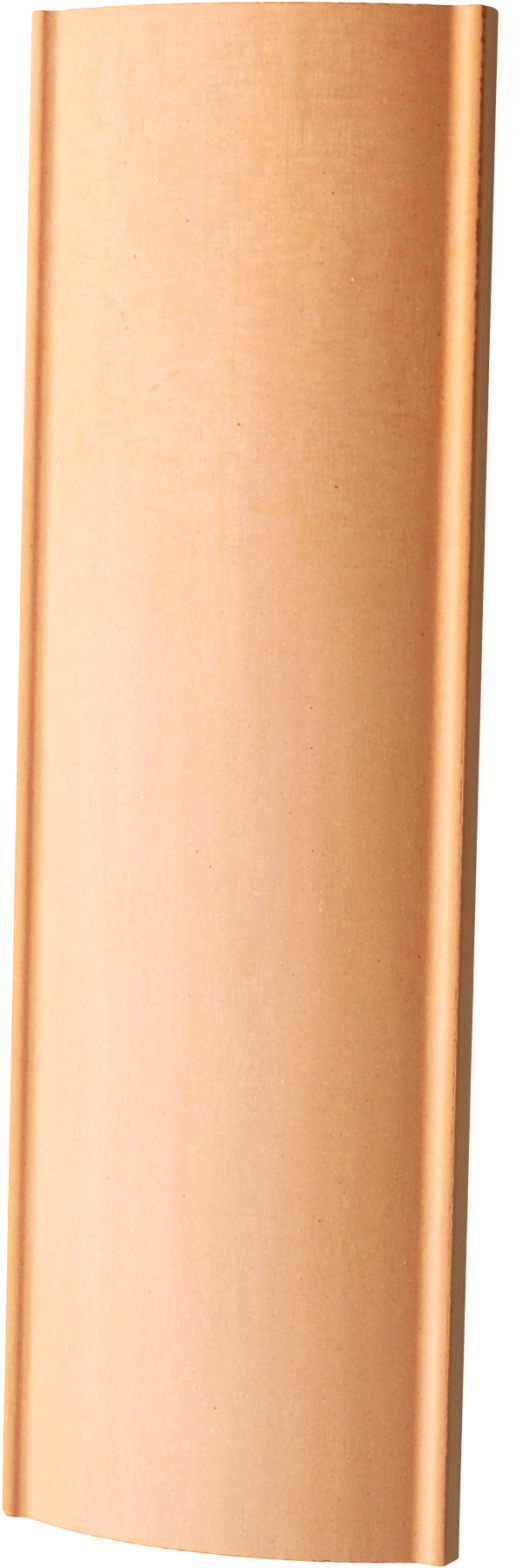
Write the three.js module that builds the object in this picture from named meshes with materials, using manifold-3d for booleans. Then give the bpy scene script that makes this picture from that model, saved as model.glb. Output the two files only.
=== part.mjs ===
// Clay cover tile for a pitched roof: one fired piece of a single clay body.
//
// The clay is pressed through a die as one long arched strip with a rounded bead along
// each edge, wire-cut to length, softened at the corners by hand and fired.
//
// Frame: millimetres, +Z up. The tile lies on its two feet with the arch upwards.
// X runs across it, Y along it, and the origin is the middle of the plane it beds on.

import * as THREE from 'three';
import { mergeVertices } from 'three/addons/utils/BufferGeometryUtils.js';
import Module from 'manifold-3d';

// ---------------------------------------------------------------- driving dimensions

const tileLength = 500;
const tileWidth = 160;

// Rim: the upright side face, and the bead above it
const edgeHeight = 12; // side face, from the bed up to its arris
const arrisDrop = 1; // from the crest of the bead down to that arris
const crestInset = 3.7; // crest of the bead, in from the side face
const beadWidth = 8.6; // bottom of the groove, in from the side face
const grooveDepth = 1.35; // bottom of the groove, below the crest of the bead
const grooveRadius = 5.7; // round bottom of the groove, between the arch and the bead

// Arch between the two beads
const archRise = 21.35; // crown above the bottom of the groove
const crownWall = 12; // thickness of the clay at the crown
const footWidth = 15; // flat strip that each long edge beds on

// Softening after the cut
const endRound = 0.8; // arris round each cut end
const cornerRadius = 1.9; // the four corners, seen from above

// Faceting of the curves
const chordError = 0.01; // furthest that a facet may stray from its arc

// ------------------------------------------------------------------- worked-out sizes

const halfWidth = tileWidth / 2;
const crestHeight = edgeHeight + arrisDrop;
const grooveHeight = crestHeight - grooveDepth;
const crownHeight = grooveHeight + archRise;

const quarterTurn = Math.PI / 2;
const up = quarterTurn; // direction of +Z in the cross-section's plane
const down = -quarterTurn;
const overrun = 1; // how far a cutter passes the clay that it trims

// -------------------------------------------------------------------------- outlines

// Points along a circular arc, close enough together to keep within chordError.
function arc(centreX, centreY, radius, fromAngle, toAngle) {
  const widestStep = 2 * Math.acos(1 - chordError / radius);
  const steps = Math.max(2, Math.ceil(Math.abs(toAngle - fromAngle) / widestStep));
  const clockwise = toAngle < fromAngle;
  const curve = new THREE.EllipseCurve(
    centreX, centreY, radius, radius, fromAngle, toAngle, clockwise,
  );
  return curve.getPoints(steps);
}

// Joins stretches end to end, dropping the point that each shares with the one before.
function joined(...stretches) {
  return stretches.flatMap((points, i) => (i === 0 ? points : points.slice(1)));
}

// Arch and its foot: from the crown down to the bottom of the groove. The circle has its
// top at the crown and touches the round of the groove on its way down.
function archSide() {
  const grooveX = halfWidth - beadWidth;
  const crownAboveRound = archRise - grooveRadius;
  const archRadius =
    (grooveX ** 2 + crownAboveRound ** 2 - grooveRadius ** 2) / (2 * archRise);
  const archCentre = crownHeight - archRadius;
  const grooveCentre = grooveHeight + grooveRadius;
  const footSlope = Math.atan2(grooveX, grooveCentre - archCentre);
  return joined(
    arc(0, archCentre, archRadius, up, up - footSlope),
    arc(grooveX, grooveCentre, grooveRadius, down - footSlope, down),
  );
}

// Bead: from the bottom of the groove up an S of two arcs, the round of the groove and
// the crest, and over one more arc to the arris at the top of the side face. On a very
// narrow bead the round of the groove gives way, so that the crest stays round.
function beadSide() {
  const grooveX = halfWidth - beadWidth;
  const crestX = halfWidth - crestInset;
  const run = crestX - grooveX;
  const bothRadii = (run ** 2 + grooveDepth ** 2) / (2 * grooveDepth);
  const flankSlope = Math.asin(run / bothRadii);
  const roundRadius = Math.min(grooveRadius, 0.7 * bothRadii);
  const crestRadius = bothRadii - roundRadius;
  const shoulderRadius = (crestInset ** 2 + arrisDrop ** 2) / (2 * arrisDrop);
  const shoulderSlope = Math.asin(crestInset / shoulderRadius);
  return joined(
    arc(grooveX, grooveHeight + roundRadius, roundRadius, down, down + flankSlope),
    arc(crestX, crestHeight - crestRadius, crestRadius, up + flankSlope, up),
    arc(crestX, crestHeight - shoulderRadius, shoulderRadius, up, up - shoulderSlope),
  );
}

// Hollow under the arch: one arc from foot to foot, crownWall below the crown.
function hollow() {
  const halfSpan = halfWidth - footWidth;
  const rise = crownHeight - crownWall;
  const radius = (halfSpan ** 2 + rise ** 2) / (2 * rise);
  const halfTurn = Math.atan2(halfSpan, radius - rise);
  return arc(0, rise - radius, radius, up + halfTurn, up - halfTurn);
}

// Whole cross-section, anticlockwise: right side face, top from right to left, left side
// face, and back to the start through the hollow.
function crossSection() {
  const rightTop = joined(archSide(), beadSide());
  const leftTop = rightTop.map((point) => new THREE.Vector2(-point.x, point.y));
  return new THREE.Shape([
    new THREE.Vector2(halfWidth, 0),
    ...joined(rightTop.reverse(), leftTop),
    new THREE.Vector2(-halfWidth, 0),
    ...hollow(),
  ]);
}

// What is taken off one square corner, seen from above: the square that reaches past it,
// less the quarter round that stays. The origin is the centre of that round.
function cornerWaste() {
  const reach = cornerRadius + overrun;
  return new THREE.Shape([
    new THREE.Vector2(reach, 0),
    new THREE.Vector2(reach, reach),
    new THREE.Vector2(0, reach),
    ...arc(0, 0, cornerRadius, up, 0),
  ]);
}

// ---------------------------------------------------------------------------- solids

const wasm = await Module();
wasm.setup();

// Closed three.js geometry to a manifold solid.
function solidOf(geometry) {
  geometry.deleteAttribute('normal');
  geometry.deleteAttribute('uv');
  const merged = mergeVertices(geometry);
  return new wasm.Manifold(new wasm.Mesh({
    numProp: 3,
    vertProperties: merged.attributes.position.array,
    triVerts: new Uint32Array(merged.index.array),
  }));
}

// Manifold solid back to a three.js geometry.
function geometryOf(solid) {
  const mesh = solid.getMesh();
  const geometry = new THREE.BufferGeometry();
  geometry.setAttribute('position', new THREE.BufferAttribute(mesh.vertProperties, 3));
  geometry.setIndex(new THREE.BufferAttribute(mesh.triVerts, 1));
  geometry.computeVertexNormals();
  return geometry;
}

// The strip of clay, cut to length: the cross-section run along Y, with the arris round
// each cut end eased by endRound.
function cutStrip() {
  const geometry = new THREE.ExtrudeGeometry(crossSection(), {
    depth: tileLength - 2 * endRound,
    bevelEnabled: true,
    bevelThickness: endRound,
    bevelSize: endRound,
    bevelOffset: -endRound,
    bevelSegments: 2,
  });
  geometry.translate(0, 0, endRound - tileLength / 2);
  geometry.rotateX(quarterTurn);
  return solidOf(geometry);
}

// Upright cutters that round the four corners, from below the bed to above the crown.
function cornerCutters() {
  const x = halfWidth - cornerRadius;
  const y = tileLength / 2 - cornerRadius;
  const corners = [[x, y], [-x, y], [-x, -y], [x, -y]];
  return corners.map(([cornerX, cornerY], i) => {
    const geometry = new THREE.ExtrudeGeometry(cornerWaste(), {
      depth: crownHeight + 2 * overrun,
      bevelEnabled: false,
    });
    geometry.rotateZ(i * quarterTurn);
    geometry.translate(cornerX, cornerY, -overrun);
    return solidOf(geometry);
  });
}

// ------------------------------------------------------------------------------ model

const firedClay = new THREE.MeshStandardMaterial({
  color: 0xd79c70,
  roughness: 0.9,
  metalness: 0,
});

const tile = cornerCutters().reduce((clay, cutter) => clay.subtract(cutter), cutStrip());

const coverTile = new THREE.Mesh(geometryOf(tile), firedClay);
coverTile.name = 'cover_tile';

const part = new THREE.Group();
part.add(coverTile);

export default part;
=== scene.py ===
# %% [markdown]
# # A clay cover tile
#
# A cover tile bridges the joint between two channel tiles on a pitched roof. Stiff clay is
# pressed through a steel die, so one cross-section runs the whole length: a shallow arch with
# a rounded bead along each edge. A wire cuts the strip to length, the wet corners are rubbed
# round by hand, and the tile is dried and fired. It is one piece with no coating.
#
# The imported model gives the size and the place. The surface made here stands for it: the same
# cross-section, with the softened and torn edges, chips and drag marks of the fired tile.

# %% Load the frame
import math

import bpy
import numpy as np
from mathutils import Matrix, Vector


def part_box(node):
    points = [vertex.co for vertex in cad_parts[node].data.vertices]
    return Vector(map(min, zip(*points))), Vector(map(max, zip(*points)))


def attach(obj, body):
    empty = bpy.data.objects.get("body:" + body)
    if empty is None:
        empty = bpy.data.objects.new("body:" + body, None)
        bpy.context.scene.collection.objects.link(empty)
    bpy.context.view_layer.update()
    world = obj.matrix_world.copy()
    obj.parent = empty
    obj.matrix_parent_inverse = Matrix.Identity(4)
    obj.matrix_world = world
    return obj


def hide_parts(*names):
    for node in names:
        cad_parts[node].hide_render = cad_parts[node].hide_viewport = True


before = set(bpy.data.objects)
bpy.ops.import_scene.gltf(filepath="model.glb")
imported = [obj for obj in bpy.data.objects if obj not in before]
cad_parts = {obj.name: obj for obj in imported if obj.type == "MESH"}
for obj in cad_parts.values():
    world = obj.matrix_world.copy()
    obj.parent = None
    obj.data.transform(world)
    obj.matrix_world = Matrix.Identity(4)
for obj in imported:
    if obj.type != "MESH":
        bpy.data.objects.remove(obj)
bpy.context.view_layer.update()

MM = 0.001  # the sizes below are in millimetres, and Blender works in metres

low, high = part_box("cover_tile")
LENGTH = (high.y - low.y) / MM
WIDTH = (high.x - low.x) / MM
HEIGHT = (high.z - low.z) / MM
print(f"tile: {LENGTH:.1f} long, {WIDTH:.1f} wide, {HEIGHT:.1f} high, in mm")

# %% [markdown]
# ## The camera
#
# The camera comes first, because it decides which surfaces are seen. A long lens from well
# above flattens the tile gently and keeps its long edges nearly parallel. It could be aimed
# with a Track To constraint. Three plain turns are used instead, because they say where the
# camera stands: swung to the right of straight above, tipped towards the far end, and rolled
# a little. It backs away from the middle of the bed plane along its own axis.

# %% Camera
CAMERA_SWING = math.radians(23.724)  # to the right of straight above
CAMERA_TIP = math.radians(3.764)  # towards the far end
CAMERA_ROLL = math.radians(1.315)
CAMERA_DISTANCE = 1.7101
CAMERA_SLIDE = (0.00342, -0.00141)  # right and up, in the camera's own axes
LENS = 119.97  # for a sensor 36 mm on its long side


def add_camera():
    """Turns a camera that looks straight down, then moves it back along its own axis."""
    data = bpy.data.cameras.new("studio_camera")
    data.lens = LENS
    data.sensor_width = 36
    camera = bpy.data.objects.new("studio_camera", data)
    bpy.context.scene.collection.objects.link(camera)
    turn = (
        Matrix.Rotation(CAMERA_SWING, 3, "Y")
        @ Matrix.Rotation(-CAMERA_TIP, 3, "X")
        @ Matrix.Rotation(CAMERA_ROLL, 3, "Z")
    )
    place = turn @ Vector((*CAMERA_SLIDE, CAMERA_DISTANCE))
    camera.matrix_world = Matrix.Translation(place) @ turn.to_4x4()
    return camera


bpy.context.scene.camera = add_camera()
print("camera at", [round(value, 3) for value in bpy.context.scene.camera.location])

# %% [markdown]
# ## The cross-section
#
# The die's outline is a chain of arcs, each tangent to the next, with a sharp arris only where
# a side face meets the bead or the bed. It could be drawn as a Bezier curve by hand. Arcs
# worked out from a few sizes are truer to the tool that made the die, and they match the
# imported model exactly.

# %% Sizes of the cross-section
EDGE_HEIGHT = 12.0  # side face, from the bed up to its arris
ARRIS_DROP = 1.0  # from the crest of the bead down to that arris
CREST_INSET = 3.7  # crest of the bead, in from the side face
BEAD_WIDTH = 8.6  # bottom of the groove, in from the side face
GROOVE_DEPTH = 1.35  # bottom of the groove, below the crest of the bead
GROOVE_RADIUS = 5.7  # round bottom of the groove, between the arch and the bead
CROWN_WALL = 12.0  # thickness of the clay at the crown
FOOT_WIDTH = 15.0  # flat strip that each long edge beds on

HALF_WIDTH = WIDTH / 2
HALF_LENGTH = LENGTH / 2
CREST_HEIGHT = EDGE_HEIGHT + ARRIS_DROP
GROOVE_HEIGHT = CREST_HEIGHT - GROOVE_DEPTH
GROOVE_X = HALF_WIDTH - BEAD_WIDTH
CREST_X = HALF_WIDTH - CREST_INSET
UP, DOWN = math.pi / 2, -math.pi / 2  # directions in the plane of the cross-section
ARC_POINTS, STRAIGHT_POINTS = 400, 50  # points that draw one stretch of the outline
print(f"bead {CREST_HEIGHT:.2f} mm high, groove {GROOVE_HEIGHT:.2f} mm")


# %% Outline
def arc(x, z, radius, start, end):
    """A round stretch: the centre plus radius times (cosine, sine) of even angles."""
    angle = np.linspace(start, end, ARC_POINTS)
    return np.column_stack([x + radius * np.cos(angle), z + radius * np.sin(angle)])


def straight(start, end):
    """A straight stretch from one (x, z) point to another."""
    return np.linspace(start, end, STRAIGHT_POINTS)


def joined(*stretches):
    """Stretches end to end, without the point that each shares with the one before."""
    return np.concatenate([stretches[0]] + [points[1:] for points in stretches[1:]])


def half_top():
    """The top from the crown to the right arris: the arch down to the round of the groove,
    which runs on up to the bead, then the crest and the shoulder. Neighbours are tangent."""
    rise = HEIGHT - GROOVE_HEIGHT
    arch_radius = (
        GROOVE_X**2 + (rise - GROOVE_RADIUS) ** 2 - GROOVE_RADIUS**2
    ) / (2 * rise)
    arch_z, groove_z = HEIGHT - arch_radius, GROOVE_HEIGHT + GROOVE_RADIUS
    foot_slope = math.atan2(GROOVE_X, groove_z - arch_z)
    run = CREST_X - GROOVE_X
    both_radii = (run**2 + GROOVE_DEPTH**2) / (2 * GROOVE_DEPTH)
    flank_slope = math.asin(run / both_radii)
    crest_radius = both_radii - GROOVE_RADIUS
    shoulder_radius = (CREST_INSET**2 + ARRIS_DROP**2) / (2 * ARRIS_DROP)
    shoulder_slope = math.asin(CREST_INSET / shoulder_radius)
    crest_z, shoulder_z = CREST_HEIGHT - crest_radius, CREST_HEIGHT - shoulder_radius
    return joined(
        arc(0, arch_z, arch_radius, UP, UP - foot_slope),
        arc(GROOVE_X, groove_z, GROOVE_RADIUS, DOWN - foot_slope, DOWN + flank_slope),
        arc(CREST_X, crest_z, crest_radius, UP + flank_slope, UP),
        arc(CREST_X, shoulder_z, shoulder_radius, UP, UP - shoulder_slope),
    )


def underside():
    """The bottom from right to left: foot, hollow and foot."""
    half_span = HALF_WIDTH - FOOT_WIDTH
    rise = HEIGHT - CROWN_WALL
    radius = (half_span**2 + rise**2) / (2 * rise)
    half_turn = math.atan2(half_span, radius - rise)
    return joined(
        straight((HALF_WIDTH, 0), (half_span, 0)),
        arc(0, rise - radius, radius, UP - half_turn, UP + half_turn),
        straight((-half_span, 0), (-HALF_WIDTH, 0)),
    )


right_half = half_top()
top = joined(right_half[::-1] * (-1, 1), right_half)
right_side = straight((HALF_WIDTH, EDGE_HEIGHT), (HALF_WIDTH, 0))
left_side = straight((-HALF_WIDTH, 0), (-HALF_WIDTH, EDGE_HEIGHT))
bottom = underside()
print(f"arch crown at {top[:, 1].max():.2f} mm, hollow at {bottom[:, 1].max():.2f} mm")

# %% [markdown]
# ## Where the mesh needs its points
#
# A torn arris needs points a quarter of a millimetre apart, but the broad arch looks the same
# with points ten times further apart. Even spacing would cost over a million faces. So a
# spacing rule packs the stations close at the arrises and at the cut ends, and later a
# thinning rule drops most lattice points wherever the surface is smooth.

# %% Stations
BLOCK = 4  # lattice cells along each side of a block, the unit of the thinning rule
SIDE_CELLS = 5 * BLOCK
TURN_ROWS = BLOCK  # rows that turn over each end's rounded edge
FINE_STEPS = 20000  # even steps in which a spacing rule is added up


def lengths_along(points):
    """Distance from the first point, measured along the outline."""
    steps = np.linalg.norm(np.diff(points, axis=0), axis=1)
    return np.concatenate([[0], np.cumsum(steps)])


def crowded(total, near, held, far, reach, cells=None):
    """Places from 0 to total. The gap between neighbours is near for the length held from
    either end, and grows to far at distance reach: places are even in the sum of step / gap."""
    place = np.linspace(0, total, FINE_STEPS + 1)
    from_end = np.minimum(place, total - place)
    gap = np.interp(from_end, [0, held, reach], [near, near, far])
    count = np.concatenate([[0], np.cumsum(np.diff(place) / gap[1:])])
    if cells is None:
        cells = BLOCK * round(count[-1] / BLOCK)
    return np.interp(np.linspace(0, count[-1], cells + 1), count, place)


def stations(points, places):
    """The (x, z) points at these distances along an outline."""
    along = lengths_along(points)
    return np.column_stack([np.interp(places, along, points[:, k]) for k in (0, 1)])


BEAD_REACH = 13  # the bead and its groove, measured in from the arris

top_length, side_length = lengths_along(top)[-1], lengths_along(right_side)[-1]
top_places = crowded(top_length, near=0.28, held=BEAD_REACH, far=0.8, reach=2 * BEAD_REACH)
TOP_CELLS = len(top_places) - 1
side_places = crowded(side_length, near=0.3, held=2, far=0.9, reach=4, cells=SIDE_CELLS)
top_x = stations(top, top_places)[:, 0]
bed_places = np.interp(top_x, -bottom[:, 0], lengths_along(bottom))  # straight below the top's
faces = [
    (top, top_places),
    (right_side, side_places),
    (bottom, bed_places),
    (left_side, side_places),
]
ring = np.concatenate([stations(points, places)[:-1] for points, places in faces])
RING = len(ring)
row_share = crowded(LENGTH, near=0.3, held=1.5, far=0.66, reach=6) / HALF_LENGTH - 1
ROWS = len(row_share) - 1 + 2 * TURN_ROWS
print(f"lattice of {RING} stations round the tile by {ROWS + 1} rows along it")

# %% [markdown]
# ## Thinning the lattice
#
# Blender's Decimate modifier could thin the mesh, but its triangles would be irregular. Here
# each block of 4 by 4 cells is kept whole, merged into 2 by 2, or merged into one. Neighbouring
# blocks differ by one step at most. Where a large cell meets two small ones it takes in their
# middle point and is cut into a fan of triangles from it, so the surface stays closed.


# %% Thinning rule
def block_levels(fine, medium):
    """Level of each block: 2 keeps every cell, 1 merges pairs, 0 merges all. Each level is
    then raised until no block differs from a neighbour by more than one."""
    level = np.where(fine, 2, np.where(medium, 1, 0))
    for _ in range(2):
        around = np.maximum(np.roll(level, 1, 0), np.roll(level, -1, 0))
        ends = np.pad(level, ((0, 0), (1, 1)), mode="edge")
        around = np.maximum(around, np.maximum(ends[:, :-2], ends[:, 2:]))
        level = np.maximum(level, around - 1)
    return level


def cells_of(level, step):
    """Lower corners (i, j) of every cell in the blocks of one level."""
    size = BLOCK >> step
    blocks = np.argwhere(level == step) * BLOCK
    offsets = np.arange(0, BLOCK, size)
    shift = np.stack(np.meshgrid(offsets, offsets, indexing="ij"), -1).reshape(-1, 2)
    return (blocks[:, None] + shift).reshape(-1, 2), size


def thinned_lattice(level):
    """Faces over the kept lattice points, as quads and triangles. A large cell that has middle
    points on its sides is cut into triangles that all meet at one of them."""
    corner = np.array([(0, 0), (2, 0), (2, 2), (0, 2)])
    between = np.array([(1, 0), (2, 1), (1, 2), (0, 1)])
    order = np.stack([corner, between], 1).reshape(8, 2)
    used = np.zeros((RING, ROWS + 1), bool)
    for step in (0, 1, 2):
        start, size = cells_of(level, step)
        at = start[:, None] + corner * size // 2
        used[at[..., 0] % RING, at[..., 1]] = True
    quads, triangles = [], []
    for step in (0, 1, 2):
        start, size = cells_of(level, step)
        at = start[:, None] + order * size // 2
        number = (at[..., 0] % RING) * (ROWS + 1) + at[..., 1]
        kept = used.ravel()[number]
        kept[:, 1::2] &= size > 1
        whole = ~kept[:, 1::2].any(1)
        quads.append(number[whole, ::2])
        turn = (2 * kept[:, 1::2].argmax(1)[:, None] + 1 + np.arange(8)) % 8
        number = np.take_along_axis(number, turn, 1)[~whole]
        kept = np.take_along_axis(kept, turn, 1)[~whole]
        for side in (1, 3, 5):
            middle = kept[:, side + 1]
            third = np.where(middle, number[:, side + 1], number[:, side + 2])
            triangles.append(np.column_stack([number[:, 0], number[:, side], third]))
            triangles.append(number[middle][:, [0, side + 1, side + 2]])
    return used, np.concatenate(quads), np.concatenate(triangles)


AT_ARRIS, NEAR_ARRIS, NEAR_BED = 2, 12, 2  # blocks beside an arris with all or half their cells
AT_END, NEAR_END = 3, 5  # blocks in from each cut end, the same

top_blocks, side_blocks = TOP_CELLS // BLOCK, SIDE_CELLS // BLOCK
at_arris, near_arris = np.zeros((2, RING // BLOCK), bool)
at_arris[:AT_ARRIS] = True
at_arris[top_blocks - AT_ARRIS : top_blocks + AT_ARRIS] = True
at_arris[-1] = True
near_arris[:NEAR_ARRIS] = True
near_arris[top_blocks - NEAR_ARRIS : top_blocks + side_blocks + NEAR_BED] = True
near_arris[-side_blocks - NEAR_BED :] = True
rows = np.arange(ROWS // BLOCK)
from_end = np.minimum(rows, rows[::-1])
level = block_levels(
    at_arris[:, None] | (from_end < AT_END)[None],
    near_arris[:, None] | (from_end < NEAR_END)[None],
)
used, tube_quads, triangles = thinned_lattice(level)
print(f"{used.sum()} of {used.size} lattice points kept")

# %% [markdown]
# ## Repeatable roughness
#
# Worn clay is rough at several sizes at once. Blender's Displace modifier with a texture could
# do it, but it knows nothing of arrises. A lattice of repeatable random numbers, blended
# smoothly between its points, gives one field that every rule below can read at any size.


# %% Roughness field
def lattice_random(i, j, k, seed):
    """One repeatable number from -1 to 1 for each whole-number point: the indices are
    multiplied by large odd numbers, added, and their bits mixed."""
    mixed = (i * 374761393 + j * 668265263 + k * 1442695041 + seed * 974634777) & 0xFFFFFFFF
    mixed = ((mixed ^ (mixed >> 13)) * 1274126177) & 0xFFFFFFFF
    return ((mixed ^ (mixed >> 16)) & 0xFFFF) / 32767.5 - 1


def rough(points, size, seed):
    """A smooth field from -1 to 1. size is the lattice spacing, one number or one for each
    axis. Each of the eight lattice points round a place counts by a smoothstep weight."""
    place = points / np.asarray(size, float)
    cell = np.floor(place).astype(np.int64)
    part = place - cell
    part = part * part * (3 - 2 * part)
    total = np.zeros(len(points))
    for corner in np.ndindex(2, 2, 2):
        weight = np.prod(np.where(corner, part, 1 - part), axis=1)
        total += weight * lattice_random(*(cell + corner).T, seed)
    return total


def ramp(value, start, end):
    """0 before start, 1 after end, and a smoothstep between."""
    share = np.clip((value - start) / (end - start), 0, 1)
    return share * share * (3 - 2 * share)


def band(value, start, full, fading, end):
    """0 outside start and end, 1 from full to fading, and smoothsteps between."""
    return ramp(value, start, full) * (1 - ramp(value, fading, end))


# %% [markdown]
# ## The tile's surface
#
# Each kept lattice point gets its place in a few plain steps, in the order that the tile got
# its shape: the die's outline, the cut ends, the rubbed corners, and then wear. The edges
# could be rounded with a Bevel modifier, but a bevel is even, and these edges are not.

# %% Place on the pressed strip
station, row = np.divmod(np.flatnonzero(used), ROWS + 1)
following, preceding = np.roll(ring, -1, axis=0), np.roll(ring, 1, axis=0)
tangent = following - preceding
tangent /= np.linalg.norm(tangent, axis=1, keepdims=True)
outward = np.column_stack([-tangent[:, 1], tangent[:, 0]])
along_ring = np.concatenate([[0], np.cumsum(np.linalg.norm(following - ring, axis=1))])
PERIMETER = along_ring[-1]

corner_at = np.cumsum([0, TOP_CELLS, SIDE_CELLS, TOP_CELLS])  # first station of each face
arrises = np.append(along_ring[corner_at], PERIMETER)
TOP_LEFT, TOP_RIGHT, BED_RIGHT, BED_LEFT = arrises[:4]
INSET_REACH = 3.0  # how far from an arris the inset of the ends still leans away from it


def inset_way():
    """Which way each station moves as an end is rounded off: straight in from its face, and
    away from a nearby arris too, so that the smaller outline doesn't cross itself there. The
    push away is 1 at the arris and 0 at INSET_REACH, in a straight line."""
    face = np.searchsorted(corner_at, np.arange(RING), side="right") - 1
    since, until = along_ring[:-1] - arrises[face], arrises[face + 1] - along_ring[:-1]
    push = np.clip(1 - since / INSET_REACH, 0, None) - np.clip(1 - until / INSET_REACH, 0, None)
    forward = following - ring
    way = np.where((since == 0)[:, None], forward, following - preceding)
    way /= np.linalg.norm(way, axis=1, keepdims=True)
    return way * push[:, None] - np.column_stack([-way[:, 1], way[:, 0]])


inward = inset_way()
section = ring[station]
normal = np.column_stack([outward[station, 0], np.zeros(len(station)), outward[station, 1]])
end = np.where(row > ROWS / 2, 1, -1)  # which end of the tile a point is nearer to
flat_place = np.column_stack([section[:, 0], end * HALF_LENGTH, section[:, 1]])

END_ROUND = 0.42  # radius of the softened edge round each cut end, before it varies
PITS_FAR, PITS_NEAR = 0.45, 0.35  # how much the pits add to it at each end

end_round = END_ROUND * (1 + 0.35 * rough(flat_place, 6, 1) + 0.3 * rough(flat_place, 1.6, 2))
pitted = np.where(end > 0, PITS_FAR + 0.2 * ramp(section[:, 0], -20, 40), PITS_NEAR)
end_round += pitted * ramp(rough(flat_place, 2.4, 3), 0.25, 0.9)

turn = np.clip(np.abs(row - ROWS / 2) - (ROWS / 2 - TURN_ROWS), 0, None) / TURN_ROWS * UP
share = np.abs(row_share[np.clip(row - TURN_ROWS, 0, len(row_share) - 1)])
y = end * (share * (HALF_LENGTH - end_round) + end_round * np.sin(turn))
place = np.column_stack([section[:, 0], y, section[:, 1]])
place[:, [0, 2]] += inward[station] * (end_round * (1 - np.cos(turn)))[:, None]
print(f"ends rounded by {end_round.min():.2f} to {end_round.max():.2f} mm")

# %% [markdown]
# ### Long arrises
#
# Rounding a sharp edge by averaging the outline over a small width on either side of it gives a
# parabola, and that has a simple form: a point at distance t from an edge whose rounding
# reaches w moves by (w - t) squared over 4w, towards the inside of the corner.

# %% Long arrises
ARRIS_SOFTNESS = 0.9  # how far the rounding reaches on each side of a top arris
BED_SOFTNESS = 0.3  # the same for the outer arrises that the tile beds on
INNER_SOFTNESS = 2.6  # and for the two along the hollow
INNER_RIGHT, INNER_LEFT = BED_RIGHT + FOOT_WIDTH, BED_LEFT - FOOT_WIDTH
PROBE = 0.4  # distance from an arris at which the directions of its two faces are read


def round_arris(arris, reach):
    """Moves points near one long arris to a parabola that touches both of its faces."""
    distance = along_ring[station] - arris
    distance = np.abs((distance + PERIMETER / 2) % PERIMETER - PERIMETER / 2)
    places = np.array([arris - PROBE, arris, arris + PROBE]) % PERIMETER
    before, middle, after = np.column_stack(
        [np.interp(places, along_ring, np.append(ring[:, k], ring[0, k])) for k in (0, 1)]
    )
    into_clay = (after - middle) / PROBE + (before - middle) / PROBE
    step = np.clip(reach - distance, 0, None) ** 2 / (4 * reach)
    return step[:, None] * np.array([into_clay[0], 0, into_clay[1]])


for arris, reach, seed in (
    (TOP_LEFT, ARRIS_SOFTNESS, 11),
    (TOP_RIGHT, ARRIS_SOFTNESS, 12),
    (BED_RIGHT, BED_SOFTNESS, 13),
    (BED_LEFT, BED_SOFTNESS, 14),
    (INNER_RIGHT, INNER_SOFTNESS, 15),
    (INNER_LEFT, INNER_SOFTNESS, 16),
):
    uneven = 1 + 0.25 * rough(place, 9, seed)
    place = place + round_arris(arris, reach * uneven)
    print(f"long edge at {arris:.1f} mm rounded")

# %% [markdown]
# ### Torn edge
#
# Where the strip left the die, both top arrises dragged on the steel and tore. Near the far end
# the tear is raw and dark. Nearer the front it is rubbed smoother, and the clay that was pushed
# aside stands up as a thin broken lip. A tear is planed here: whatever stands proud of a
# leaning plane is pushed back to it, and the plane moves in and out with the roughness field.

# %% Torn edge
TEAR_LEAN = math.radians(20)  # how far the torn face leans back from the upright
TEAR_DEPTH = 0.42  # from the arris down to the torn face
TEAR_AT_NEAR_END = 0.18  # the same where it runs out, over the last few millimetres
LEFT_TEAR = 0.3  # the left arris tore less deeply, and evenly along the tile


def tear(side, depth, raw, seed):
    """How far each point is cut back at the top arris of one side. The plane is deepest and
    its depth varies most where the tear is raw (raw = 1). Where raw = 0 it is nearly even."""
    facing = np.array([side * math.cos(TEAR_LEAN), 0, math.sin(TEAR_LEAN)])
    arris = np.array([side * HALF_WIDTH, 0, EDGE_HEIGHT])
    ragged = 0.5 * rough(place, (4, 2.6, 4), seed) + 0.5 * rough(place, (2, 0.9, 2), seed + 1)
    ragged = 1 + 0.2 * raw**2 + (0.2 + 0.8 * raw**2) * ragged
    grain = (0.02 + 0.12 * raw**2) * rough(place, 0.7, seed + 2)
    proud = (place - arris) @ facing + depth * ragged + grain
    return np.clip(proud, 0, None)[:, None] * facing


raw = 0.25 + 0.75 * ramp(place[:, 1], 20, 190)
raw = np.clip(raw + 0.3 * rough(place, (20, 26, 20), 30), 0, 1)
fading = ramp(place[:, 1], -HALF_LENGTH, -HALF_LENGTH + 16)
torn = tear(1, TEAR_AT_NEAR_END + (TEAR_DEPTH - TEAR_AT_NEAR_END) * fading, raw, 31)
torn_left = tear(-1, LEFT_TEAR, 0.5 * raw, 41)
place = place - torn - torn_left
torn_depth = np.linalg.norm(torn + torn_left, axis=1)
print(f"torn back by up to {torn_depth.max():.2f} mm")

# %% [markdown]
# ### Lip
#
# The lip is a ridge a third of a millimetre wide with a fine groove behind it. It breaks up and
# comes back along the tile, so its height is the roughness field, cut off at nothing.

# %% Lip
LIP_HEIGHT = 0.17
LIP_WIDTH = 0.27
LIP_INSET = 0.42  # crest of the lip, in from the arris
LIP_GROOVE_INSET = 1.05
LIP_GROOVE_DEPTH = 0.12
LIP_LEAN = 0.4  # how far it leans outwards, as a share of its height
LEFT_LIP = 0.5  # height on the left arris, as a share of the right one's


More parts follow.
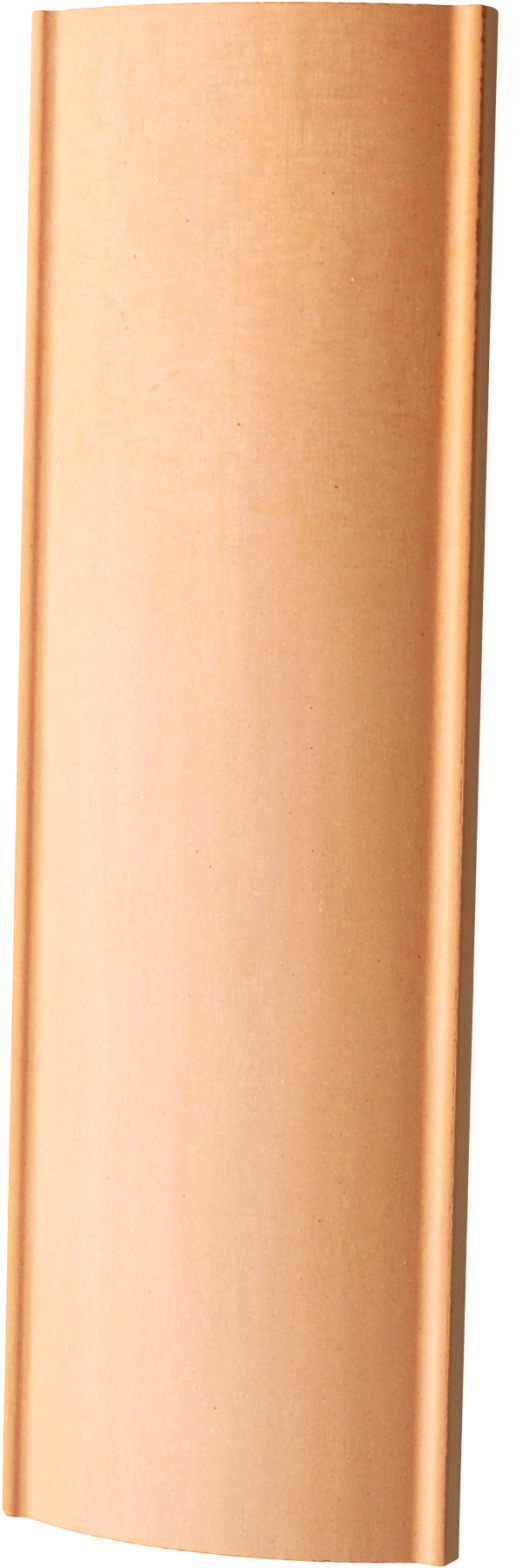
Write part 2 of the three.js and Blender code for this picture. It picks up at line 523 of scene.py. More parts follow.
def lip(arris, side, seed):
    """The ridge and the groove behind it: two bells across the edge, each times how much of
    the lip is left at each place along it."""
    inset = (arris - along_ring[station]) * side
    left = 0.4 + 0.6 * rough(place, (9, 17, 9), seed) + 1.1 * rough(place, (5, 1.1, 5), seed + 1)
    left = np.clip(left, 0, 1.4) * (1 - ramp(place[:, 1], 10, 120))
    left *= ramp(place[:, 1], -HALF_LENGTH + 4, -HALF_LENGTH + 24)
    ridge = np.exp(-(((inset - LIP_INSET) / LIP_WIDTH) ** 2))
    groove = np.exp(-(((inset - LIP_GROOVE_INSET) / LIP_WIDTH) ** 2))
    return ridge * left, groove * left


ridge, groove = lip(TOP_RIGHT, 1, 21)
left_ridge, left_groove = lip(TOP_LEFT, -1, 23)
ridge += LEFT_LIP * left_ridge
groove += LEFT_LIP * left_groove
raised = LIP_HEIGHT * ridge - LIP_GROOVE_DEPTH * groove
place[:, 2] += raised
place[:, 0] += LIP_LEAN * raised * np.sign(section[:, 0])
print(f"lip up to {raised.max():.2f} mm high")

# %% [markdown]
# ### Rubbed corners and the cut ends
#
# Each corner was rubbed round with a wet finger, most of all at the bed. A square turned into a
# round corner keeps its bead whole if squares round its centre become circles, so that rule is
# used rather than a cut. The ends are then closed with a sheet stretched between their edges.

# %% Corner rounds
CORNER_ROUNDS = {  # radius seen from above: at mid-height, and at the bed
    (1, 1): (1.0, 2.0),
    (1, -1): (0.6, 1.0),
    (-1, -1): (3.5, 3.8),
    (-1, 1): (1.5, 2.4),
}
MID_HEIGHT = 5.0  # above the bed


def round_corner(points, side, way, upper, lower):
    """Inside the corner's square, a point at (u, v) from the round's centre is drawn in by the
    larger of u and v over their distance, so that the square's rim becomes the round. The
    radius goes from lower, at the bed, to upper, at MID_HEIGHT."""
    radius = lower + (upper - lower) * ramp(points[:, 2], 0, MID_HEIGHT)
    centre = np.column_stack([side * (HALF_WIDTH - radius), way * (HALF_LENGTH - radius)])
    out = np.clip((points[:, :2] - centre) * (side, way), 0, None)
    away = np.linalg.norm(out, axis=1)
    factor = np.where(away > 0, out.max(axis=1) / np.where(away > 0, away, 1), 1)
    moved = points.copy()
    inside = (out > 0).all(axis=1)
    moved[inside, :2] = (centre + out * factor[:, None] * (side, way))[inside]
    return moved


for (side, way), radii in CORNER_ROUNDS.items():
    place = round_corner(place, side, way, *radii)
print(f"{len(CORNER_ROUNDS)} corners rubbed round")


# %% End sheets
def four_edges(rim):
    """An end's rim as four edges: top and bottom from left to right, both sides downwards."""
    _, right, below, left = corner_at
    return (
        rim[: right + 1],
        rim[below : left + 1][::-1],
        np.concatenate([rim[left:], rim[:1]])[::-1],
        rim[right : below + 1],
    )


def end_sheet(rim):
    """Points inside the end, as a grid stretched between four edges: the blend of top and
    bottom, plus the blend of the two sides, less the blend of the four corners."""
    above, below, left, right = four_edges(rim)
    u = (top_x / WIDTH + 0.5)[:, None, None]
    v = (side_places / EDGE_HEIGHT)[None, :, None]
    corners = (1 - v) * ((1 - u) * above[0] + u * above[-1])
    corners = corners + v * ((1 - u) * below[0] + u * below[-1])
    sheet = (1 - v) * above[:, None] + v * below[:, None]
    return sheet + (1 - u) * left[None] + u * right[None] - corners


def end_numbers(rim, first_new):
    """Vertex numbers of the end sheet: its border is the rim, and its inside is new."""
    numbers = np.empty((TOP_CELLS + 1, SIDE_CELLS + 1), int)
    numbers[:, 0], numbers[:, -1], numbers[0], numbers[-1] = four_edges(rim)
    inside = numbers[1:-1, 1:-1]
    inside[...] = first_new + np.arange(inside.size).reshape(inside.shape)
    return numbers


new_number = np.cumsum(used.ravel()) - 1
triangles = new_number[triangles]
points = [place]
quads = [new_number[tube_quads]]
for rim_row, flip in ((0, True), (ROWS, False)):
    rim = new_number[np.arange(RING) * (ROWS + 1) + rim_row]
    sheet = end_sheet(place[rim])[1:-1, 1:-1].reshape(-1, 3)
    numbers = end_numbers(rim, sum(map(len, points)))
    quad = np.stack([numbers[:-1, :-1], numbers[1:, :-1], numbers[1:, 1:], numbers[:-1, 1:]], -1)
    quads.append(quad.reshape(-1, 4)[:, :: -1 if flip else 1])
    points.append(sheet)
points = np.concatenate(points)
on_sheets = (0, len(points) - len(place))
torn_depth, groove = np.pad(torn_depth, on_sheets), np.pad(groove, on_sheets)
print(f"{len(points)} points with both ends closed")

# %% [markdown]
# ### Chips, drag marks and the feel of pressed clay
#
# A chip is a shallow scoop out of an edge. It is made as a knock from a ball: every point
# inside the ball is pushed out to the ball's surface. The drag marks and the slight waviness
# of the clay are the roughness field, stretched along the way that the clay or the wire moved.

# %% Chips and drag marks
CHIPS = [  # across the tile, which end, width along the edge
    (-3.6, -1, 2.6),
    (44.5, -1, 3.2),
    (41.0, -1, 1.4),
    (-50.5, -1, 1.8),
    (-30.0, -1, 1.2),
    (22.0, 1, 1.6),
    (-61.0, 1, 1.5),
    (60.0, 1, 1.3),
]
KNOCK_RADIUS = 0.75  # of the ball, as a share of the chip's width


def knock(points, centre, radius):
    """Points nearer to the centre than the radius are pushed straight out to it."""
    away = points - centre
    distance = np.linalg.norm(away, axis=1, keepdims=True)
    return np.where(distance < radius, centre + away * radius / distance, points)


chipped = np.zeros(len(points))
for x, way, width in CHIPS:
    edge = np.array([x, way * HALF_LENGTH, np.interp(x, top[:, 0], top[:, 1])])
    out = np.array([0, way, 1]) / math.sqrt(2)
    radius = KNOCK_RADIUS * width
    before = points
    points = knock(points, edge + out * math.sqrt(radius**2 - width**2 / 4), radius)
    chipped = np.maximum(chipped, ramp(np.linalg.norm(points - before, axis=1), 0.02, 0.15))
print(f"{len(CHIPS)} chips, with {np.count_nonzero(chipped)} points in them")

on_end = ramp(np.abs(points[:, 1]), HALF_LENGTH - 2.2, HALF_LENGTH - 0.05)
drag = 0.14 + 0.10 * rough(points, (1.8, 4, 16), 51) + 0.06 * rough(points, (1, 4, 3), 52)
drag = np.clip(drag, 0, None)
points[:, 1] -= np.sign(points[:, 1]) * drag * on_end
points[:, 1] = np.clip(points[:, 1], -HALF_LENGTH, HALF_LENGTH)

WAVE_MARGIN = 0.08  # keeps the crest of every wave inside the pressed outline

outwards = np.zeros_like(points)
outwards[: len(normal)] = normal
wave = 0.05 * rough(points, (38, 60, 38), 61) + 0.025 * rough(points, (14, 26, 14), 62)
wave += 0.012 * rough(points, (5, 160, 5), 63)
off_bed = ramp(points[:, 2], 0.3, 3)  # nothing moves where the feet touch the table
points -= outwards * (wave * off_bed + WAVE_MARGIN)[:, None] * off_bed[:, None]
print(f"waves from {wave.min():.2f} to {wave.max():.2f} mm")

# %% [markdown]
# ### The mesh
#
# Blender can take its points and faces one by one, as when a mesh is drawn by hand. Whole
# arrays are handed over instead, because that is much quicker for a surface of this size.


# %% Build the mesh
def mesh_object(name, points, corners, counts):
    """A mesh from arrays: coordinates, every face's corner numbers in a row, and how many
    corners each face has."""
    mesh = bpy.data.meshes.new(name)
    mesh.vertices.add(len(points))
    mesh.vertices.foreach_set("co", (points * MM).astype(np.float32).ravel())
    mesh.loops.add(len(corners))
    mesh.loops.foreach_set("vertex_index", corners.astype(np.int32))
    mesh.polygons.add(len(counts))
    starts = np.concatenate([[0], np.cumsum(counts)[:-1]])
    mesh.polygons.foreach_set("loop_start", starts.astype(np.int32))
    mesh.update(calc_edges=True)
    mesh.validate()
    mesh.shade_smooth()
    shape = bpy.data.objects.new(name, mesh)
    bpy.context.scene.collection.objects.link(shape)
    return shape


quads = np.concatenate(quads)
corners = np.concatenate([quads.ravel(), triangles.ravel()])
counts = np.repeat([4, 3], [len(quads), len(triangles)])
tile = mesh_object("pressed_clay_tile", points, corners, counts)
print(f"{tile.name}: {len(tile.data.polygons)} faces, {int((counts - 2).sum())} triangles")

# %% [markdown]
# ## Fired clay
#
# Iron gives the clay its orange, and the kiln varies it: paler and pinker where the heat was
# gentle, deeper at the edges. The surface is dry and matt, with a grain finer than half a
# millimetre. It could be one colour with a noise over it. Layers at several sizes are used,
# because each is seen at its own distance.
#
# The broad layers follow the shape of the tile, so they are worked out point by point and kept
# on the mesh. Each is a product of ramps and bells, across the tile and along it. They could be
# painted by hand with Vertex Paint, but numbers are easier to move and to repeat. Some of them
# hold painted light and shade, as said where each is made.

# %% Places on the tile
GROOVE_LEFT = -71.5  # bottom of the left groove, where shade is painted
SIDE_FACING = (0.8, 0.98)  # how far sideways a face looks before it counts as a side face


def bell(value, centre, width):
    """1 at the centre, falling off on both sides: e to the minus (offset / width) squared."""
    return np.exp(-(((value - centre) / width) ** 2))


across, along, height = points.T
leftwards, end_distance = -across, np.abs(along)
far_share = ramp(along, -300, 240)  # nothing at the near end, 1 at the far end
near_share = 1 - ramp(along, -240, 100)
right = across > 0
on_tube = np.arange(len(points)) < len(place)  # not on the sheets over the cut ends
on_top = ramp(outwards[:, 2], -0.3, 0.3)
patchy = 1 + 0.25 * rough(points, (30, 45, 30), 71)

# %% [markdown]
# ### Flame colour, painted light and painted shade
#
# The beads and the rims stood in the flame and took a deeper orange. On the right bead that
# orange is partly painted light: its red is raised for the strong key light there, more towards
# the far end. Shade is painted in the left groove and on the inner flank of the left bead, which
# turns away from the key lamp, as a darker, redder band. Elsewhere that layer adds only faint
# darker patches. On the bead it thins out towards the far end.

# %% Flame colour, painted light and painted shade
# the right bead's flame orange, its red partly painted light for the strong key light there
right_bead = 0.5 * ramp(across, 67.4, 70.6) + 0.5 * ramp(across, 72.5, 77)
# the left bead's flame orange; the bell in the left groove is painted shade
left_bead = 0.55 * bell(across, -70.9, 1.9) * (1 - 0.65 * ramp(along, 40, 180))
left_bead += 0.85 * ramp(leftwards, 74.2, 76.0)
rim = on_tube * ramp(end_distance, HALF_LENGTH - 2.6, HALF_LENGTH - 0.4)
rim *= 0.6 + 0.5 * rough(points, (6, 1.2, 6), 72)
right_flame_and_light = 0.5 + 0.12 * ramp(along, -240, -60) + 0.38 * ramp(along, -60, 140)
left_flame_and_shade = 0.85 - 0.3 * ramp(along, 120, 260)
flame_light_and_shade = np.where(right, right_bead * right_flame_and_light, left_bead * left_flame_and_shade)
flame_light_and_shade += 0.2 * band(leftwards, 40, 56, 66, 72)
flame_light_and_shade = np.clip(flame_light_and_shade * patchy + 0.9 * rim, 0, 1)

# painted shade on the left bead's inner flank and in the left groove, and faint darker patches
painted_shade_and_patches = 0.42 * ramp(leftwards, 72.2, 74) + 0.1 * ramp(leftwards, 74.2, 76)
painted_shade_and_patches *= 1 - 0.85 * ramp(along, 40, 220)
painted_shade_and_patches += 0.5 * bell(across, GROOVE_LEFT, 1.9)
painted_shade_and_patches += (0.03 + 0.06 * near_share) * band(leftwards, 40, 56, 66, 71)
painted_shade_and_patches += 0.06 * bell(across, 31, 15) * (1 - ramp(along, 60, 200))
painted_shade_and_patches += 0.05 * ramp(leftwards, 16, 42) * (1 - ramp(along, -235, -130))
painted_shade_and_patches += 0.05 * bell(across, 64, 5) * band(along, -190, -90, 50, 150)

# %% [markdown]
# ### Tints of the arch
#
# The right flank is ochre and the far half is warm. The near half is pale. A straw-coloured tint
# lies at the right foot of the arch towards the far end. The right groove is painted lighter, as
# painted light, and the far end of the right flank is a little paler. The crown is a little
# lighter in the far half.

# %% Tints of the arch
ochre = ramp(across, 24, 62) * (0.48 + 0.4 * far_share) * patchy
ochre += 0.2 * bell(across, 65.5, 3) * ramp(along, -160, -60)
ochre *= 1 - 0.8 * ramp(across, 67, 70.5)
warm = ramp(along, 20, 210) * (0.36 + 0.35 * bell(across, 20, 18)) * patchy
cooler = 0.25 * ramp(leftwards, 30, 60) + 0.35 * ramp(across, 36, 56) + 0.5 * ramp(across, 68, 72)
warm *= 1 - cooler
pale = (1 - ramp(along, -200, 120)) * (0.2 + 0.8 * ramp(across, -60, 0)) * patchy
pale *= 1 - 0.8 * ramp(across, 0, 45) - 0.35 * bell(across, -26, 16) * near_share
pale += 0.5 * (1 - ramp(along, -245, -150)) * band(across, 20, 50, 66, 72)
pale += 0.5 * near_share * band(across, 52, 68, 69, 74)
straw = 0.42 * bell(across, 66.8, 4.3) * ramp(along, 85, 140) * (1 - 0.5 * ramp(along, 205, 235))
# painted light in the right groove, and a paler far end of the right flank
groove_light_and_paler_flank = (0.8 - 0.42 * near_share) * bell(across, 69.4, 1.8)
groove_light_and_paler_flank += 0.25 * ramp(along, 110, 190) * band(across, 24, 40, 62, 67)
lighter_crown = 0.28 * bell(across, -1, 14) * ramp(along, 5, 45)
chatter = ramp(along, 20, 120) * (1 - ramp(np.abs(across), 55, 66))
smudged = 0.25 + 0.55 * ramp(along, 0, 130)

# %% [markdown]
# ### Side faces, broken edges and painted shade
#
# The die pressed a smooth brown skin on the side faces. It is darkened as painted shade, most on
# the right side face, which turns away from the key lamp. It is paler and greyer at the near end
# and darker towards the far end. Higher up it is painted darker and redder, as shade where the
# table's light reaches less. Where an edge broke or tore, the deep red inside of the clay shows.
# The same deep red is painted as shade in the lip's groove and round the rims of the cut ends,
# where chips darken it too, and a dark line runs along the top edge of each tear.

# %% Side faces, broken edges and painted shade
# the brown skin, darkened as painted shade, most on the right side face, which turns away from the
# key lamp
skin_and_shade = ramp(np.abs(outwards[:, 0]), *SIDE_FACING) * np.where(right, 1, 0.6)
skin_and_shade = np.maximum(skin_and_shade, 0.8 * ramp(torn_depth, 0.05, 0.25))
skin_and_shade *= 0.86 + 0.14 * far_share
ashen = 0.9 * skin_and_shade * near_share
# painted shade: darker and redder higher up the side faces, where the table's light reaches less
painted_upper_shade = skin_and_shade * ramp(height, 2, 11.5) * (1 - ramp(torn_depth, 0.03, 0.2))
painted_upper_shade *= (1 - 0.6 * near_share) * np.where(right, 1, 0.4)

rawness = 0.14 + 0.78 * ramp(along, 30, 190)
# a dark line along the top edge of each tear
seam = bell(torn_depth, 0.09, 0.07) * ramp(height, 11.5, 12) * (0.35 + 0.35 * rawness)
# painted shade round the rims of the cut ends, with their chips
more_rim_dark = np.where(along > 0, 0.5 * ramp(across, -60, 30), 0.45 * bell(across, -10, 55))
rim_shade_and_chips = on_tube * ramp(end_distance, HALF_LENGTH - 1.1, HALF_LENGTH - 0.3)
rim_shade_and_chips *= ramp(rough(points, (1.3, 0.8, 1.3), 73) + more_rim_dark, 0.1, 0.6)
# broken clay; painted shade in the lip's groove and round the rims; side faces darker towards the
# far end
breaks_and_shade = (
    0.8 * chipped,
    ramp(torn_depth, 0.02, 0.22) * rawness,
    seam,
    0.12 * skin_and_shade * ramp(along, 120, 240),
    0.75 * rim_shade_and_chips,
    0.6 * groove,
)

# %% Keep the layers on the mesh, one number at each point
for name, values in {
    "open_face": on_top,
    "dark": np.max(breaks_and_shade, axis=0),
    "flame_light_and_shade": flame_light_and_shade * on_top,
    "painted_shade_and_patches": painted_shade_and_patches * patchy * on_top,
    "ochre": ochre * on_top,
    "warm": warm * on_top,
    "pale": pale * on_top,
    "straw": straw * on_top,
    "groove_light_and_paler_flank": groove_light_and_paler_flank * on_top,
    "lighter_crown": lighter_crown * on_top,
    "chatter": chatter * on_top,
    "smudged": smudged * on_top,
    "skin_and_shade": skin_and_shade,
    "painted_upper_shade": painted_upper_shade,
    "ashen": ashen,
}.items():
    attribute = tile.data.attributes.new(name, "FLOAT", "POINT")
    attribute.data.foreach_set("value", values.astype(np.float32))
    print(f"{name}: up to {values.max():.2f}")


# %% [markdown]
# ### Small tools for the material
#
# The finish is a chain of shader nodes. It could be wired by hand in the Shader Editor. Each
# tool here adds one kind of step, so the chain below reads as a list of what lies on the clay.


# %% Node helpers
clay = bpy.data.materials.new("fired_clay")
clay.use_nodes = True
tree = clay.node_tree  # every node below goes into this tree


def set_inputs(node, inputs):
    """Gives each input, by its name or number, a value or another node's output."""
    for name, value in inputs.items():
        if isinstance(value, bpy.types.NodeSocket):
            node.id_data.links.new(value, node.inputs[name])
        else:
            node.inputs[name].default_value = value


def add_node(kind, inputs=None, **settings):
    """A new node in the clay's tree, with its settings and inputs."""
    node = tree.nodes.new(kind)
    for name, value in settings.items():
        setattr(node, name, value)
    set_inputs(node, inputs or {})
    return node


def noise(vector, size, detail=2.0, roughness=0.5, output="Fac"):
    """Noise whose blobs are about this many millimetres across."""
    inputs = {"Vector": vector, "Scale": 1 / size, "Detail": detail, "Roughness": roughness}
    return add_node("ShaderNodeTexNoise", inputs).outputs[output]


def remap(value, low, high, to_low=0.0, to_high=1.0):
    """Carries low..high to to_low..to_high in a smooth step, held outside that range."""
    inputs = {"Value": value, "From Min": low, "From Max": high, "To Min": to_low, "To Max": to_high}
    node = add_node("ShaderNodeMapRange", inputs, interpolation_type="SMOOTHSTEP")
    return node.outputs["Result"]


def math_node(operation, first, second):
    """One arithmetic step between two values."""
    node = add_node("ShaderNodeMath", {0: first, 1: second}, operation=operation)
    return node.outputs[0]


def blend(factor, base, over, mode="MIX"):
    """Mixes a colour over another by a factor. A Mix node's colours are inputs 6 and 7."""
    inputs = {0: factor, 6: base, 7: over}
    node = add_node("ShaderNodeMix", inputs, data_type="RGBA", blend_type=mode)
    return node.outputs[2]


def shaded(colour, gain):
    """A colour multiplied by a gain."""
    return blend(1.0, colour, gain, "MULTIPLY")


def stretched(coordinates, *stretch):
    """The coordinates in millimetres, divided along each axis by stretch."""
    scale = [1 / (MM * value) for value in stretch]
    node = add_node("ShaderNodeMapping", {"Vector": coordinates, "Scale": scale})
    return node.outputs["Vector"]


def wandering(colour, where, size, contrast):
    """Lets the red, green and blue of a colour wander apart a little, each by its own noise."""
    cloud = noise(where, size, 4, 0.85, "Color")
    inputs = {0: cloud, 1: (contrast,) * 3, 2: (1 - contrast / 2,) * 3}
    gain = add_node("ShaderNodeVectorMath", inputs, operation="MULTIPLY_ADD")
    return shaded(colour, gain.outputs[0])


def spots(where, spacing, radius):
    """One spot in each cell of a Voronoi pattern, from 0.6 to 1.7 times this radius: how far
    inside a spot a place is, and three chance numbers that are the cell's own."""
    cells = add_node("ShaderNodeTexVoronoi", {"Vector": where, "Scale": 1 / spacing})
    chance = add_node("ShaderNodeSeparateColor", {"Color": cells.outputs["Color"]}).outputs
    widen = math_node("ADD", chance[2], 0.6)
    distance = math_node("MULTIPLY", cells.outputs["Distance"], widen)
    inside = remap(distance, 0.5 * radius / spacing, radius / spacing, 1, 0)
    return inside, chance


def scored(where, marks):
    """The strongest of a list of marks at each place. A mark is an oval: 1 times its depth in
    the middle, and nothing at its rim."""
    strongest = None
    for x, y, length, width, turn, depth in marks:
        oval = {
            "Vector": where,
            "Location": (x * MM, y * MM, 0),
            "Rotation": (0, 0, math.radians(turn)),
            "Scale": (width / 2 * MM, length / 2 * MM, 1),
        }
        local = add_node("ShaderNodeMapping", oval, vector_type="TEXTURE").outputs["Vector"]
        distance = add_node("ShaderNodeVectorMath", {0: local}, operation="LENGTH")
        mark = remap(distance.outputs["Value"], 0.3, 1, depth, 0)
        strongest = math_node("MAXIMUM", strongest, mark) if strongest else mark
    return strongest


# %% [markdown]
# ### Handling marks
#
# A few scuffs, drawn lines and pale nicks show where the wet strip was handled and set down.
# They could be painted in an image. Each is a soft oval in the material instead, because the
# mesh of the arch is too coarse for a mark one millimetre wide.

# %% Handling marks
SCUFFS = [  # across, along, length, width, turn in degrees, depth
    (-32.5, 169.0, 2.0, 1.5, 0, 1.0),
    (-37.4, 150.5, 8.0, 2.3, 29, 0.42),
    (-35.2, 146.0, 2.8, 2.1, 0, 0.45),
    (-23.7, 127.0, 8.0, 2.0, -61, 0.32),
    (-17.0, 130.8, 10.5, 2.6, -61, 0.3),
    (58.0, 119.8, 13.0, 1.0, 82, 0.3),
    (58.5, 124.5, 7.0, 1.0, -59, 0.24),
    (35.0, 220.3, 15.0, 1.3, 90, 0.22),
    (26.0, 209.0, 17.0, 1.8, 0, 0.2),
    (21.3, 200.0, 35.0, 1.6, 0, 0.22),
    (-20.0, 152.0, 22.0, 1.6, 0, 0.26),
    (-28.0, 200.0, 32.0, 1.0, 0, 0.22),
    (-23.6, 201.0, 22.0, 0.9, 0, 0.22),
    (-53.0, 169.0, 20.0, 1.4, 81, 0.22),
    (-13.0, 212.0, 1.6, 1.4, 0, 0.8),
    (36.0, 189.5, 1.5, 1.3, 0, 0.8),
    (-24.0, -11.0, 2.2, 1.4, 0, 0.5),
]
NICKS = [  # the same, but paler than the clay round them
    (-24.5, 193.5, 1.4, 1.1, 0, 0.9),
    (-6.0, 134.0, 1.1, 0.9, 0, 0.7),
    (-14.0, 100.0, 1.4, 1.1, 0, 0.8),
    (42.5, 162.5, 1.4, 1.1, 0, 0.6),
    (-25.0, -5.5, 1.4, 1.2, 0, 0.8),
    (37.5, 218.6, 26.0, 1.6, 90, 0.09),
    (24.0, 208.5, 17.0, 1.4, 0, 0.12),
    (28.3, 208.5, 16.0, 1.4, 0, 0.12),
    (26.5, 200.2, 10.0, 1.9, 90, 0.1),
]
print(f"{len(SCUFFS)} scuffs, {len(NICKS)} pale nicks")

# %% [markdown]
# ### The finish
#
# From the broad layers down to the finest: bands and ripples left by the die, drawn streaks,
# scratches, smudges, mottle, grain, handling marks, broken edges and painted shade, and last
# dark and pale spots.
# Everything reads Object coordinates, so the pattern runs through every face alike.

# %% Clay material
CLAY = (0.655, 0.309, 0.205, 1)
CLAY_PINK = (0.651, 0.313, 0.222, 1)
CLAY_ORANGE = (0.632, 0.288, 0.166, 1)
CLAY_SMUDGE = (0.99, 0.89, 0.76, 1)  # multiplies the colour that it lies on
CLAY_SCUFFED = (0.36, 0.142, 0.058, 1)
# the deep red of broken clay, also laid on as painted shade
DEEP_CLAY_AND_SHADE = (0.360, 0.130, 0.020, 1)
IRON_SPOT = (0.20, 0.085, 0.045, 1)
LIME_SPOT = (0.80, 0.66, 0.52, 1)
NO_CHANGE = (1, 1, 1, 1)
CLAY_ROUGHNESS = 0.78
CLAY_SHINE = 0.25
GRAIN_DEPTH = 0.06  # of the grain that the bump node stands for
LAYERS = [  # laid one over the other in this order, each as far as the mesh says
    ("pale", (0.594, 0.318, 0.221, 1)),
    ("ochre", (0.575, 0.311, 0.156, 1)),
    ("warm", (0.725, 0.330, 0.194, 1)),
    ("lighter_crown", (0.760, 0.390, 0.260, 1)),
    ("straw", (0.700, 0.420, 0.165, 1)),
    # flame orange, with painted light on the right bead and painted shade in the left groove
    ("flame_light_and_shade", (0.778, 0.305, 0.156, 1)),
    # painted shade in the left groove and on the left bead, and faint darker patches
    ("painted_shade_and_patches", (0.300, 0.145, 0.062, 1)),
    # painted light in the right groove, and a paler far end of the right flank
    ("groove_light_and_paler_flank", (0.800, 0.364, 0.195, 1)),
    # the side faces' brown skin, darkened as painted shade
    ("skin_and_shade", (0.372, 0.224, 0.108, 1)),
    ("ashen", (0.378, 0.258, 0.155, 1)),
    # painted shade higher up the side faces
    ("painted_upper_shade", (0.405, 0.212, 0.076, 1)),
]


def kept(name):
    """A layer's number, as kept on the mesh."""
    return add_node("ShaderNodeAttribute", attribute_name=name).outputs["Fac"]


def marked(where, marks, broken=None):
    """The marks of one list on the open face only, broken up by a noise if there is one."""
    share = scored(where, marks)
    share = math_node("MULTIPLY", share, broken) if broken else share
    return math_node("MULTIPLY", share, kept("open_face"))


def clay_colour(where, even, streak, grain):
    """The layers of the finish, from the broad tints to the spots."""
    colour = blend(remap(noise(even, 42), 0.35, 0.65), CLAY_PINK, CLAY)
    for name, tint in LAYERS:
        colour = blend(kept(name), colour, tint)

    lengthways, crossways = stretched(where, 1, 9, 1), stretched(where, 4, 1, 4)
    colour = shaded(colour, remap(noise(lengthways, 9, 3), 0.3, 0.7, 0.965, 1.03))
    ripples = remap(noise(crossways, 2.2, 3), 0.3, 0.7, 0.965, 1.035)
    colour = shaded(colour, blend(kept("chatter"), NO_CHANGE, ripples))
    drawn = remap(noise(streak, 2.2, 3), 0.5, 0.75, 0, 0.3)
    colour = blend(drawn, colour, CLAY_ORANGE)
    scratches = remap(noise(lengthways, 0.8, 3, 0.6), 0.3, 0.7, 0.94, 1.05)
    patch = remap(noise(even, 26, 3), 0.42, 0.62)
    colour = shaded(colour, blend(patch, NO_CHANGE, scratches))

    smudge = remap(noise(stretched(where, 1, 1.5, 1), 8, 8, 0.78), 0.45, 0.68)
    smudge = math_node("MULTIPLY", smudge, kept("smudged"))
    colour = blend(smudge, colour, CLAY_SMUDGE, "MULTIPLY")
    mottle = remap(noise(even, 1.5, 4, 0.8), 0.42, 0.66, 0, 0.5)
    colour = blend(mottle, colour, CLAY_SMUDGE, "MULTIPLY")
    colour = wandering(colour, even, 1.3, 0.5)
    colour = shaded(colour, remap(grain, 0.25, 0.75, 0.91, 1.07))

    broken = remap(noise(even, 0.7, 2), 0.32, 0.55, 0.45, 1.0)
    colour = blend(marked(where, SCUFFS, broken), colour, CLAY_SCUFFED)
    colour = blend(marked(where, NICKS), colour, LIME_SPOT)
    # broken clay, and painted shade in the lip's groove and round the rims
    dark = math_node("MULTIPLY", kept("dark"), broken)
    colour = blend(dark, colour, DEEP_CLAY_AND_SHADE)

    inside, chance = spots(even, 1.5, 0.42)
    tone = remap(chance[0], 0, 1, 0.84, 1.14)
    colour = blend(inside, colour, shaded(colour, tone))
    inside, chance = spots(even, 6.5, 0.42)
    depth = math_node("MULTIPLY", inside, remap(chance[1], 0, 1, 0.2, 0.78))
    iron = math_node("MULTIPLY", depth, math_node("LESS_THAN", chance[0], 0.55))
    lime = math_node("MULTIPLY", depth, math_node("GREATER_THAN", chance[0], 0.92))
    return blend(lime, blend(iron, colour, IRON_SPOT), LIME_SPOT)


def finish_clay():
    """The colour above, over a dry matt surface with a fine grain."""
    where = add_node("ShaderNodeTexCoord").outputs["Object"]
    even, streak = stretched(where, 1, 1, 1), stretched(where, 1, 60, 1)
    grain = noise(even, 0.45, 3, 0.6)
    relief = math_node("MULTIPLY", noise(streak, 1.2), 0.6)
    relief = math_node("ADD", grain, relief)
    bump = {"Height": relief, "Strength": 0.35, "Distance": GRAIN_DEPTH * MM}
    finish = {
        "Base Color": clay_colour(where, even, streak, grain),
        "Normal": add_node("ShaderNodeBump", bump).outputs["Normal"],
        "Roughness": CLAY_ROUGHNESS,
        "Specular IOR Level": CLAY_SHINE,
    }
    set_inputs(tree.nodes["Principled BSDF"], finish)


finish_clay()
tile.data.materials.append(clay)
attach(tile, "root")
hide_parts("cover_tile")
print(f"one finish: {clay.name}, {len(tree.nodes)} nodes")

# %% [markdown]
# ## Table and light
#
# The tile lies on a plain pale table that glows a little, as a light table does, so the tile
# stands clear of it and its side face gets light from below. A large soft lamp on the left
# models the arch and the beads, and a weak one overhead fills it. The studio is dim.

# %% Table
TABLE_RADIUS = 12.0
TABLE_GAP = 0.02  # millimetres under the bed, so that no two faces share one plane
TABLE_GLOW = 1.2
TABLE_SIDES = 96


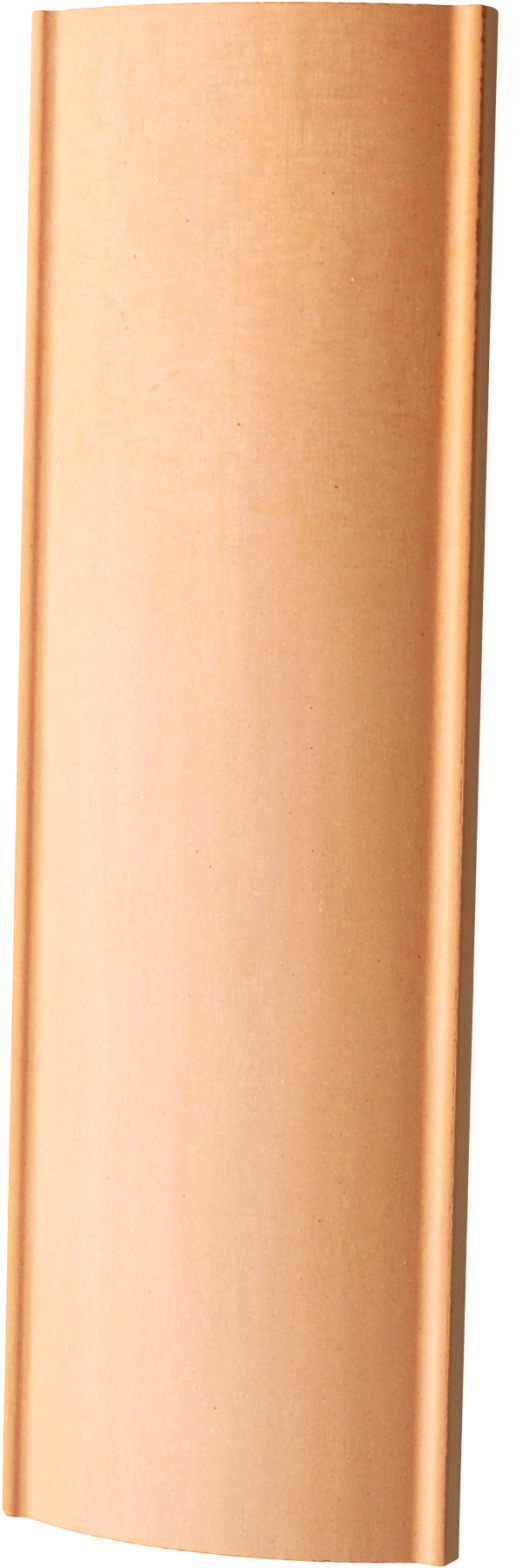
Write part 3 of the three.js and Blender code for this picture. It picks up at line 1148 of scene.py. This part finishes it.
def add_table():
    """A disc under the tile, just below the bed, that glows and also takes shadows."""
    angle = np.linspace(0, 2 * math.pi, TABLE_SIDES, endpoint=False)
    rim = np.column_stack([np.cos(angle), np.sin(angle)]) * TABLE_RADIUS / MM
    rim = np.column_stack([rim, np.full(TABLE_SIDES, -TABLE_GAP)])
    table = mesh_object("pale_table", rim, np.arange(TABLE_SIDES), np.array([TABLE_SIDES]))
    material = bpy.data.materials.new("pale_table")
    material.use_nodes = True
    finish = {
        "Base Color": (0.12, 0.12, 0.12, 1),
        "Roughness": 0.9,
        "Specular IOR Level": 0.0,
        "Emission Color": (1, 1, 1, 1),
        "Emission Strength": TABLE_GLOW,
    }
    set_inputs(material.node_tree.nodes["Principled BSDF"], finish)
    table.data.materials.append(material)
    return table


add_table()

# %% Lamps
LAMPS = [  # name, place, size, and power in watts
    ("key_lamp", (-2.07, 0.50, 1.40), 0.8, 141.0),
    ("overhead_lamp", (0.02, -0.20, 0.85), 0.4, 6.25),
]


def add_lamp(name, place, size, power):
    """A square area lamp that faces the middle of the tile."""
    data = bpy.data.lights.new(name, "AREA")
    data.shape = "SQUARE"
    data.size = size
    data.energy = power
    lamp = bpy.data.objects.new(name, data)
    lamp.location = place
    lamp.rotation_euler = (-Vector(place)).to_track_quat("-Z", "Y").to_euler()
    lamp.visible_camera = False
    bpy.context.scene.collection.objects.link(lamp)
    print(f"{name}: {power} W at {place}")


for lamp in LAMPS:
    add_lamp(*lamp)

# %% Studio
STUDIO_LIGHT = 0.02


def set_studio():
    """An even dim light from all round."""
    world = bpy.data.worlds.new("studio")
    world.use_nodes = True
    light = {"Color": (0.9, 0.95, 1, 1), "Strength": STUDIO_LIGHT}
    set_inputs(world.node_tree.nodes["Background"], light)
    bpy.context.scene.world = world


set_studio()
print("studio light:", STUDIO_LIGHT)

# %% [markdown]
# ## Tone
#
# A camera doesn't record light evenly: it deepens the shadows a little and rolls the
# highlights off. Blender's Filmic view does this strongly. A gentle S of a few points is set
# on the plain Standard view instead.

# %% Tone curve
WHITE_LEVEL = 1.29  # the light that comes out as pure white
TONE = [(0.075, 0.045), (0.15, 0.127), (0.235, 0.262), (0.35, 0.455), (0.55, 0.68), (0.8, 0.875)]

view = bpy.context.scene.view_settings
view.view_transform = "Standard"
view.use_curve_mapping = True
view.curve_mapping.white_level = (WHITE_LEVEL,) * 3
for light, shown in TONE:
    view.curve_mapping.curves[3].points.new(light, shown)
view.curve_mapping.update()
print(f"tone curve through {len(TONE)} points")
